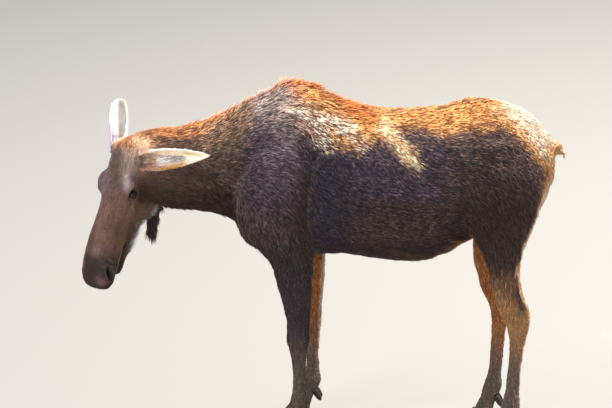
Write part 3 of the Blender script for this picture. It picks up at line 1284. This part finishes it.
earShape = {
    "buried": 0.02,
    "bow": 0.018,  # how far it bends back along its length
    "wall": 0.006,
    "thinner": 0.55,  # share of the wall that is lost at the edges, and again at the tip
    "ridge": 0.0014,  # height of the ridges inside
    "along": (0.00, 0.15, 0.3, 0.45, 0.6, 0.75, 0.87, 0.95, 1.00),
    "halfAngle": (130, 110, 90, 78, 68, 60, 52, 48, 45),
    "rows": 64,
    "half": 26,  # points across each face of the scoop
}
# ground and streak colours of the ears' two faces and of the marks on them
earColours = {
    "outer": ((166, 134, 106), (214, 186, 156)),
    "inner": ((244, 228, 206), (255, 250, 240)),
    "farInner": ((212, 198, 186), (244, 234, 226)),
    "channel": ((128, 116, 124), (206, 194, 190)),
    "warm": ((214, 164, 116), (248, 216, 178)),
    "base": ((206, 204, 212), (246, 244, 246)),
    "rim": ((250, 238, 220), (255, 253, 248)),
    "golden": ((188, 122, 50), (238, 190, 118)),
    "shade": ((126, 115, 140), (180, 166, 190)),
    "foot": ((138, 106, 84), (206, 174, 146)),
}
earTufts = {
    "outer": (0.012, 0.002, 14, 0.3, 80000),
    "inner": (0.019, 0.0019, 18, 0.2, 70000),
}
earVariety = {
    "length": (0.7, 1.3),
    "width": (0.75, 1.25),
    "lift": (0.4, 1.5),
    "streaks": (0.012, 0.1),  # metres across and along one
    "way": 0.1,  # how far the hairs' ways differ
    "edgeWay": 0.3,  # how far they turn out towards the edges
    "tipShorter": 0.35,  # share of their length that they lose towards the tip
    "sink": 0.0005,
    "share": 0.5,  # of paler hairs, and how far these keep together
    "group": 0.6,
    "rootTone": 0.88,
    "spread": 0.12,
    "scoopTone": 0.96,  # the skin beside the mean of the hairs over it
}


def smoothTable(at, table):
    # the table read at even steps and averaged over a short run, so that it has no corners
    reach = np.linspace(-0.06, 0.06, 9)
    return np.interp(np.clip(at[:, None] + reach, 0, 1), earShape["along"], table).mean(axis=1)


def earGrid(place):
    # the spine bows back by bow * sin(pi t); the section is an arc that turns by angle(t) * s about it; the
    # wall is thickest in the middle; each ring runs over the outer face and back over the inner one
    way = unit(np.array(place["way"]))
    opening = np.array(place["opening"])
    opening = unit(opening - way * (opening @ way))
    across = np.cross(way, opening)
    root = fromHead(place["spot"]) - way * earShape["buried"]
    steps = np.linspace(0, 1, earShape["rows"])
    half = smoothTable(steps, place["halfWidth"]) * ramp(1.012, 0.93, steps) ** 0.5
    angle = np.radians(smoothTable(steps, earShape["halfAngle"]))
    radius = half / np.sin(np.minimum(angle, math.pi / 2))
    edge = np.sin(np.linspace(-0.5, 0.5, earShape["half"]) * math.pi)
    face = np.concatenate((np.ones(earShape["half"]), -np.ones(earShape["half"])))
    t, s = np.meshgrid(steps, np.concatenate((edge, edge[::-1])), indexing="ij")
    turn = angle[:, None] * s
    outward = across * np.sin(turn)[..., None] - opening * np.cos(turn)[..., None]
    thin = earShape["thinner"]
    wall = earShape["wall"] * (1 - thin * np.abs(s) ** 4) * (1 - thin * t**2)
    ridges = earShape["ridge"] * np.cos(4.5 * math.pi * s) * band(0.1, 0.75, 0.15, t) * (1 - s**2)
    offset = np.where(face > 0, wall / 2, -wall / 2 - ridges)
    bow = -earShape["bow"] * np.sin(math.pi * t)
    points = (root + way * ((place["length"] + earShape["buried"]) * t)[..., None] + opening * bow[..., None]
              + across * (radius[:, None] * np.sin(turn))[..., None]
              + opening * (radius[:, None] * (1 - np.cos(turn)))[..., None] + outward * offset[..., None])
    return points, t, s * np.sign(across[2]), np.broadcast_to(face, t.shape), way


def ringFaces(rows, corners):
    # quads between neighbouring rings, cut into triangles, and a fan that closes each end
    i, j = np.meshgrid(np.arange(rows - 1), np.arange(corners), indexing="ij")
    a, b = i * corners + j, i * corners + (j + 1) % corners
    sides = np.concatenate((np.stack((a, b, b + corners), -1).reshape(-1, 3),
                            np.stack((a, b + corners, a + corners), -1).reshape(-1, 3)))
    j = np.arange(corners)
    first, last = rows * corners, rows * corners + 1
    low = np.column_stack(((j + 1) % corners, j, np.full(corners, first)))
    high = np.column_stack((j, (j + 1) % corners, np.zeros(corners, int))) + (rows - 1) * corners
    high[:, 2] = last
    return np.concatenate((sides, low, high))


def closedRings(points):
    # rings (rows, corners, 3) with a point in the middle of each end; faces turned to point outward
    rows, corners = points.shape[:2]
    flat = np.concatenate((points.reshape(-1, 3), points[:1].mean(axis=1), points[-1:].mean(axis=1)))
    faces = ringFaces(rows, corners)
    a, b, c = (flat[faces[:, k]] for k in range(3))
    if np.einsum("ij,ij->i", a, np.cross(b, c)).sum() < 0:
        faces = faces[:, ::-1]
    return flat, faces


def earLook(name, t, s, face):
    # the colours of each face; s is -1 at the lower edge and 1 at the upper one
    inner = ramp(0.1, -0.1, face)
    if name == "ear_left":
        own = {
            "warm": inner * band(0.05, 0.55, 0.15, s) * band(0.25, 0.8, 0.15, t) * 0.7,
            "channel": inner * band(-0.34, 0.06, 0.16, s + 0.5 * (t - 0.4)) * band(0.16, 0.56, 0.1, t),
            "base": inner * band(-0.8, -0.1, 0.15, s) * (1 - ramp(0.22, 0.4, t)),
            "golden": ramp(-0.4, -0.7, s) * band(0.1, 0.54, 0.16, t),
            "foot": 1 - ramp(0.1, 0.27, t + 0.05 * s),
        }
    else:
        own = {
            "farInner": inner,
            "warm": inner * band(-0.3, 0.1, 0.15, s) * band(0.1, 0.34, 0.1, t) * 0.6,
            "shade": ramp(0.15, -0.15, s + 1 - 2.3 * (0.6 - t)),
        }
    masks = {"inner": inner, "rim": ramp(0.45, 0.85, s) * ramp(0.05, 0.2, t), **own}
    tints = blended({part: np.ravel([colour(*tint) for tint in pair]) for part, pair in earColours.items()},
                    "outer", masks)
    return tints[:, :3], tints[:, 3:]


def makeEar(name, place):
    # the scoop, then its hairs: along the ear, turned out towards the edges, in locks
    grid, t, s, face, way = earGrid(place)
    points, faces = closedRings(grid)
    t, s, face = (np.append(values.ravel(), (values.flat[0], values.flat[-1])) for values in (t, s, face))
    ground, streak = earLook(name, t, s, face)
    mesh = meshFrom(name + "Scoop", points, faces)
    paintPoints(mesh, (ground + streak) / 2 * earVariety["scoopTone"])
    addPiece(name + "Scoop", mesh, hairTone, "ear", name)
    normals = pointNormals(points, faces)
    form = np.where(face[:, None] < 0, earTufts["inner"], earTufts["outer"])
    corners, shares = scatter(faces, points, form[faces].mean(axis=1)[:, 4] * thinning)
    roots, facing, form, ground, streak = (
        carried(values, corners, shares) for values in (points, normals, form, ground, streak))
    t, s, face = (carried(values[:, None], corners, shares)[:, 0] for values in (t, s, face))
    facing = unit(facing)
    n = len(roots)
    edgeWay = np.cross(way, facing) * (np.sign(face) * s * ramp(0.2, 0.9, np.abs(s)))[:, None]
    ways = way + earVariety["edgeWay"] * edgeWay + dice.normal(0, earVariety["way"], (n, 3))
    ways = flattened(ways, facing)
    streaks = locks(roots, ways, [way], *earVariety["streaks"])
    sizes = tuftSizes(form, earVariety)
    sizes["length"] = sizes["length"] * (1 - earVariety["tipShorter"] * t)
    sizes["sink"] = np.full(n, earVariety["sink"])
    look = np.column_stack((ground, streak, np.full(n, earVariety["share"]), np.full(n, earVariety["group"])))
    tints = tuftTints(look, streaks, n, earVariety["rootTone"], earVariety["spread"])
    charts = np.column_stack((0.25 - 0.23 * s + 0.5 * (face < 0), 0.01 + 0.98 * t))
    tuftPiece(name + "Hair", tuftPoints(roots, facing, ways, sizes), tints, charts, "ear")
    print(name, n, "tufts")


for earName, earPlace in earPlaces.items():
    makeEar(earName, earPlace)

eyeGrid = {
    "rows": 48,
    "corners": 64,
    "bulge": (0.985, 0.035, 0.55),  # the ball's size, how much larger it is in front, and over what angle
    "irisAngle": 1.4,  # radians from the gaze at which fromGaze is 1
    "pupilLong": 0.36,
    "pupilTall": 0.21,
}


def makeEye(side, nodeName, material):
    # a ball whose radius grows by a small bulge, exp(-(angle / width)^2), where it looks out
    rows, centre = eyeFrame(side), middleOf(nodeName)
    angle = np.linspace(0.02, math.pi - 0.02, eyeGrid["rows"])
    turn = np.linspace(0, 2 * math.pi, eyeGrid["corners"], endpoint=False)
    angle, turn = np.meshgrid(angle, turn, indexing="ij")
    flat, bulge, width = eyeGrid["bulge"]
    radius = headPlace["eyeSize"] * (flat + bulge * np.exp(-((angle / width) ** 2)))
    wide = radius * np.sin(angle)
    ball = np.stack((wide * np.cos(turn), wide * np.sin(turn), radius * np.cos(angle)), axis=-1)
    points, faces = closedRings(centre + ball @ rows)
    mesh = meshFrom(nodeName + "Ball", points, faces)
    u, v, w = ((points - centre) @ rows.T / headPlace["eyeSize"]).T
    gaze = np.arccos(np.clip(w / np.sqrt(u**2 + v**2 + w**2), -1, 1))
    pointValues(mesh, "fromGaze", gaze / eyeGrid["irisAngle"])
    pointValues(mesh, "irisSpoke", np.abs(np.arctan2(v, u)))
    pointValues(mesh, "pupil", np.hypot(u / eyeGrid["pupilLong"], v / eyeGrid["pupilTall"]))
    addPiece(nodeName + "Ball", mesh, material, "eye", nodeName)


wetEye = eyeMaterial()
makeEye(1, "eye_left", wetEye)
makeEye(-1, "eye_right", wetEye)

hoofShape = {
    "toeSlope": 52.0,  # degrees
    "coronetSlope": 19.0,
    "toeEdge": 0.012,
    "blend": 0.003,  # metres over which the toe wall rounds into the coronet
    "heel": 0.45,  # how far the heel's ground edge lies forward, beside its height
    "ripple": 0.005,  # growth lines, as a share of the width
    "rippleStep": 0.006,
    "rows": 46,
    "corners": 36,
}


def hornPiece(nodeName, points, material):
    # rings of points as the horn that stands for one node
    name = nodeName + "Horn"
    addPiece(name, meshFrom(name, *closedRings(points)), material, "hoof", nodeName)


def makeClaw(nodeName, material):
    # rings from toe to heel: the top follows the steep toe wall, then the coronet's slope down to the heel;
    # each ring is a rounded box, wide * |cos|^0.55 across and |sin|^0.8 or, below, |sin|^0.35 upward
    low, high = boxOf(nodeName)
    t = (1 - np.cos(np.linspace(0, math.pi, hoofShape["rows"]))) / 2
    x = low[0] + (high[0] - low[0]) * t
    steep, gentle = (math.tan(math.radians(hoofShape[k])) for k in ("toeSlope", "coronetSlope"))
    toeWall = hoofShape["toeEdge"] + (x - low[0]) * steep
    peak = low[0] + (high[2] - hoofShape["toeEdge"]) / steep
    top = high[2] - (x - peak) * gentle
    blend = hoofShape["blend"]
    tall = -np.logaddexp(-toeWall / blend, -top / blend) * blend
    half = (high[1] - low[1]) / 2 * np.sin(math.pi * (0.05 + 0.81 * (1 - t) + 0.05)) ** 0.5
    half = half * (1 - 0.26 * (1 - t) ** 3) * ramp(-0.02, 0.08, t) ** 0.5 * ramp(1.02, 0.92, t) ** 0.5
    turn = np.linspace(0, 2 * math.pi, hoofShape["corners"], endpoint=False)
    c, s = np.cos(turn), np.sin(turn)
    wide = np.sign(c) * np.abs(c) ** 0.55 * (1 - 0.2 * np.clip(s, 0, 1))
    rise = np.where(s > 0, 0.5 + 0.5 * np.abs(s) ** 0.8, 0.5 - 0.5 * np.abs(s) ** 0.35)
    lines = np.sin(2 * math.pi * tall[:, None] * rise / hoofShape["rippleStep"])
    y = (low[1] + high[1]) / 2 + half[:, None] * wide * (1 + hoofShape["ripple"] * lines)
    heel = hoofShape["heel"] * (1 - rise) * (tall * ramp(0.7, 1.0, t))[:, None]
    hornPiece(nodeName, np.stack((x[:, None] - heel, y, low[2] + tall[:, None] * rise), axis=-1), material)


dewclawShape = {"size": 0.42, "ripple": 0.02, "rows": 26, "corners": 20}


def makeDewclaw(nodeName, material):
    # a blunt horn along a line down and back, whose radius closes at its tip: size * (1 - t^4)^0.5
    low, high = boxOf(nodeName)
    size = (high[1] - low[1]) * dewclawShape["size"]
    start = np.array((low[0] + size * 0.4, (low[1] + high[1]) / 2, high[2] - size * 0.2))
    end = np.array((high[0] - size * 0.5, (low[1] + high[1]) / 2, low[2] + 0.001))
    t = np.sin(np.linspace(0, 1, dewclawShape["rows"]) * math.pi / 2)
    ripple = dewclawShape["ripple"]
    radius = size * np.sqrt(np.clip(1 - t**4, 0.0004, 1)) * (1 - ripple + ripple * np.sin(10 * math.pi * t))
    turn = np.linspace(0, 2 * math.pi, dewclawShape["corners"], endpoint=False)
    across = np.array((0, 1.0, 0))
    other = np.cross(unit(end - start), across)
    ring = np.cos(turn)[:, None] * across + np.sin(turn)[:, None] * other
    points = start + (end - start) * t[:, None, None] + radius[:, None, None] * ring[None]
    hornPiece(nodeName, points, material)


horn = hoofMaterial()
for leg in legNames:
    for toe in ("a", "b"):
        makeClaw(f"{leg}_claw_{toe}", horn)
        makeDewclaw(f"{leg}_dewclaw_{toe}", horn)
print("ears, eyes and hooves made")

studio = {
    "floorSize": 60.0,
    "floorColour": (0.235, 0.236, 0.236),
    "worldStrength": 0.5,
    "worldColour": (0.86, 0.91, 1.0),
    # place, aimed at, size, watts, colour, degrees that the light spreads over
    "lights": {
        "sunBox": ((6.0, 3.2, 13.4), (0.1, 0.0, 1.2), 3.2, 7700, (1.0, 0.93, 0.83), 180),
        "frontFill": ((-3.4, -6.0, 2.8), (-0.1, 0.0, 1.0), 3.5, 170, (0.88, 0.93, 1.0), 180),
        "leftBox": ((-4.6, -2.2, 4.6), (-0.8, -0.1, 1.2), 1.6, 130, (1.0, 0.97, 0.94), 180),
        "earBox": ((0.3, -4.2, 2.9), (-0.63, -0.14, 1.335), 0.2, 0.28, (1.0, 0.95, 0.88), 4.5),
        "farEarBox": ((-3.93, -1.63, 3.38), (-0.932, 0.173, 1.4), 0.2, 0.07, (1.0, 0.95, 0.92), 4.5),
    },
}
view = {
    "aim": (-0.0807, 0.0217, 1.081),
    "azimuth": 5.0,
    "elevation": 17.0,
    "distance": 14.0,
    "lens": 185.3,
    "sensor": 36.0,
}


def aimed(place, target):
    # the turns about x and z that point a lamp's or camera's -z at the target
    away = np.array(place) - np.array(target)
    flat = math.hypot(away[0], away[1])
    return (math.atan2(flat, away[2]), 0, math.atan2(away[0], -away[1]))


def makeFloor():
    # a plain pale floor
    half = studio["floorSize"] / 2
    corners = np.array(((-half, -half, 0), (half, -half, 0), (half, half, 0), (-half, half, 0)), float)
    paper = Finish("floorPaper", **{
        "Base Color": (*studio["floorColour"], 1),
        "Roughness": 0.85,
        "Specular IOR Level": 0.2,
    })
    floor = bpy.data.objects.new("floor", meshFrom("floor", corners, np.array(((0, 1, 2), (0, 2, 3)))))
    floor.data.materials.append(paper.material)
    bpy.context.scene.collection.objects.link(floor)


def makeLight():
    # a pale sky all round, and the lamps of the studio
    world = bpy.data.worlds.new("studioWorld")
    world.use_nodes = True
    sky = world.node_tree.nodes["Background"]
    sky.inputs["Color"].default_value = (*studio["worldColour"], 1)
    sky.inputs["Strength"].default_value = studio["worldStrength"]
    bpy.context.scene.world = world
    for name, (place, target, size, watts, tint, spread) in studio["lights"].items():
        lamp = bpy.data.lights.new(name, "AREA")
        lamp.shape, lamp.size, lamp.energy, lamp.color = "DISK", size, watts, tint
        lamp.spread = math.radians(spread)
        holder = bpy.data.objects.new(name, lamp)
        holder.location, holder.rotation_euler = place, aimed(place, target)
        bpy.context.scene.collection.objects.link(holder)


def makeCamera():
    # aim + distance * (sin a cos e, -cos a cos e, sin e), with a the azimuth and e the elevation
    turn, rise = math.radians(view["azimuth"]), math.radians(view["elevation"])
    back = np.array((math.sin(turn) * math.cos(rise), -math.cos(turn) * math.cos(rise), math.sin(rise)))
    camera = bpy.data.objects.new("camera", bpy.data.cameras.new("camera"))
    camera.data.sensor_width = view["sensor"]
    camera.data.lens = view["lens"]
    camera.data.clip_end = 200.0
    camera.location = np.array(view["aim"]) + back * view["distance"]
    camera.rotation_euler = aimed(camera.location, view["aim"])
    bpy.context.scene.collection.objects.link(camera)
    bpy.context.scene.camera = camera


makeFloor()
makeLight()
makeCamera()
bpy.context.scene.view_settings.view_transform = "Standard"
print("stage, light and camera set")

print("sizes written")
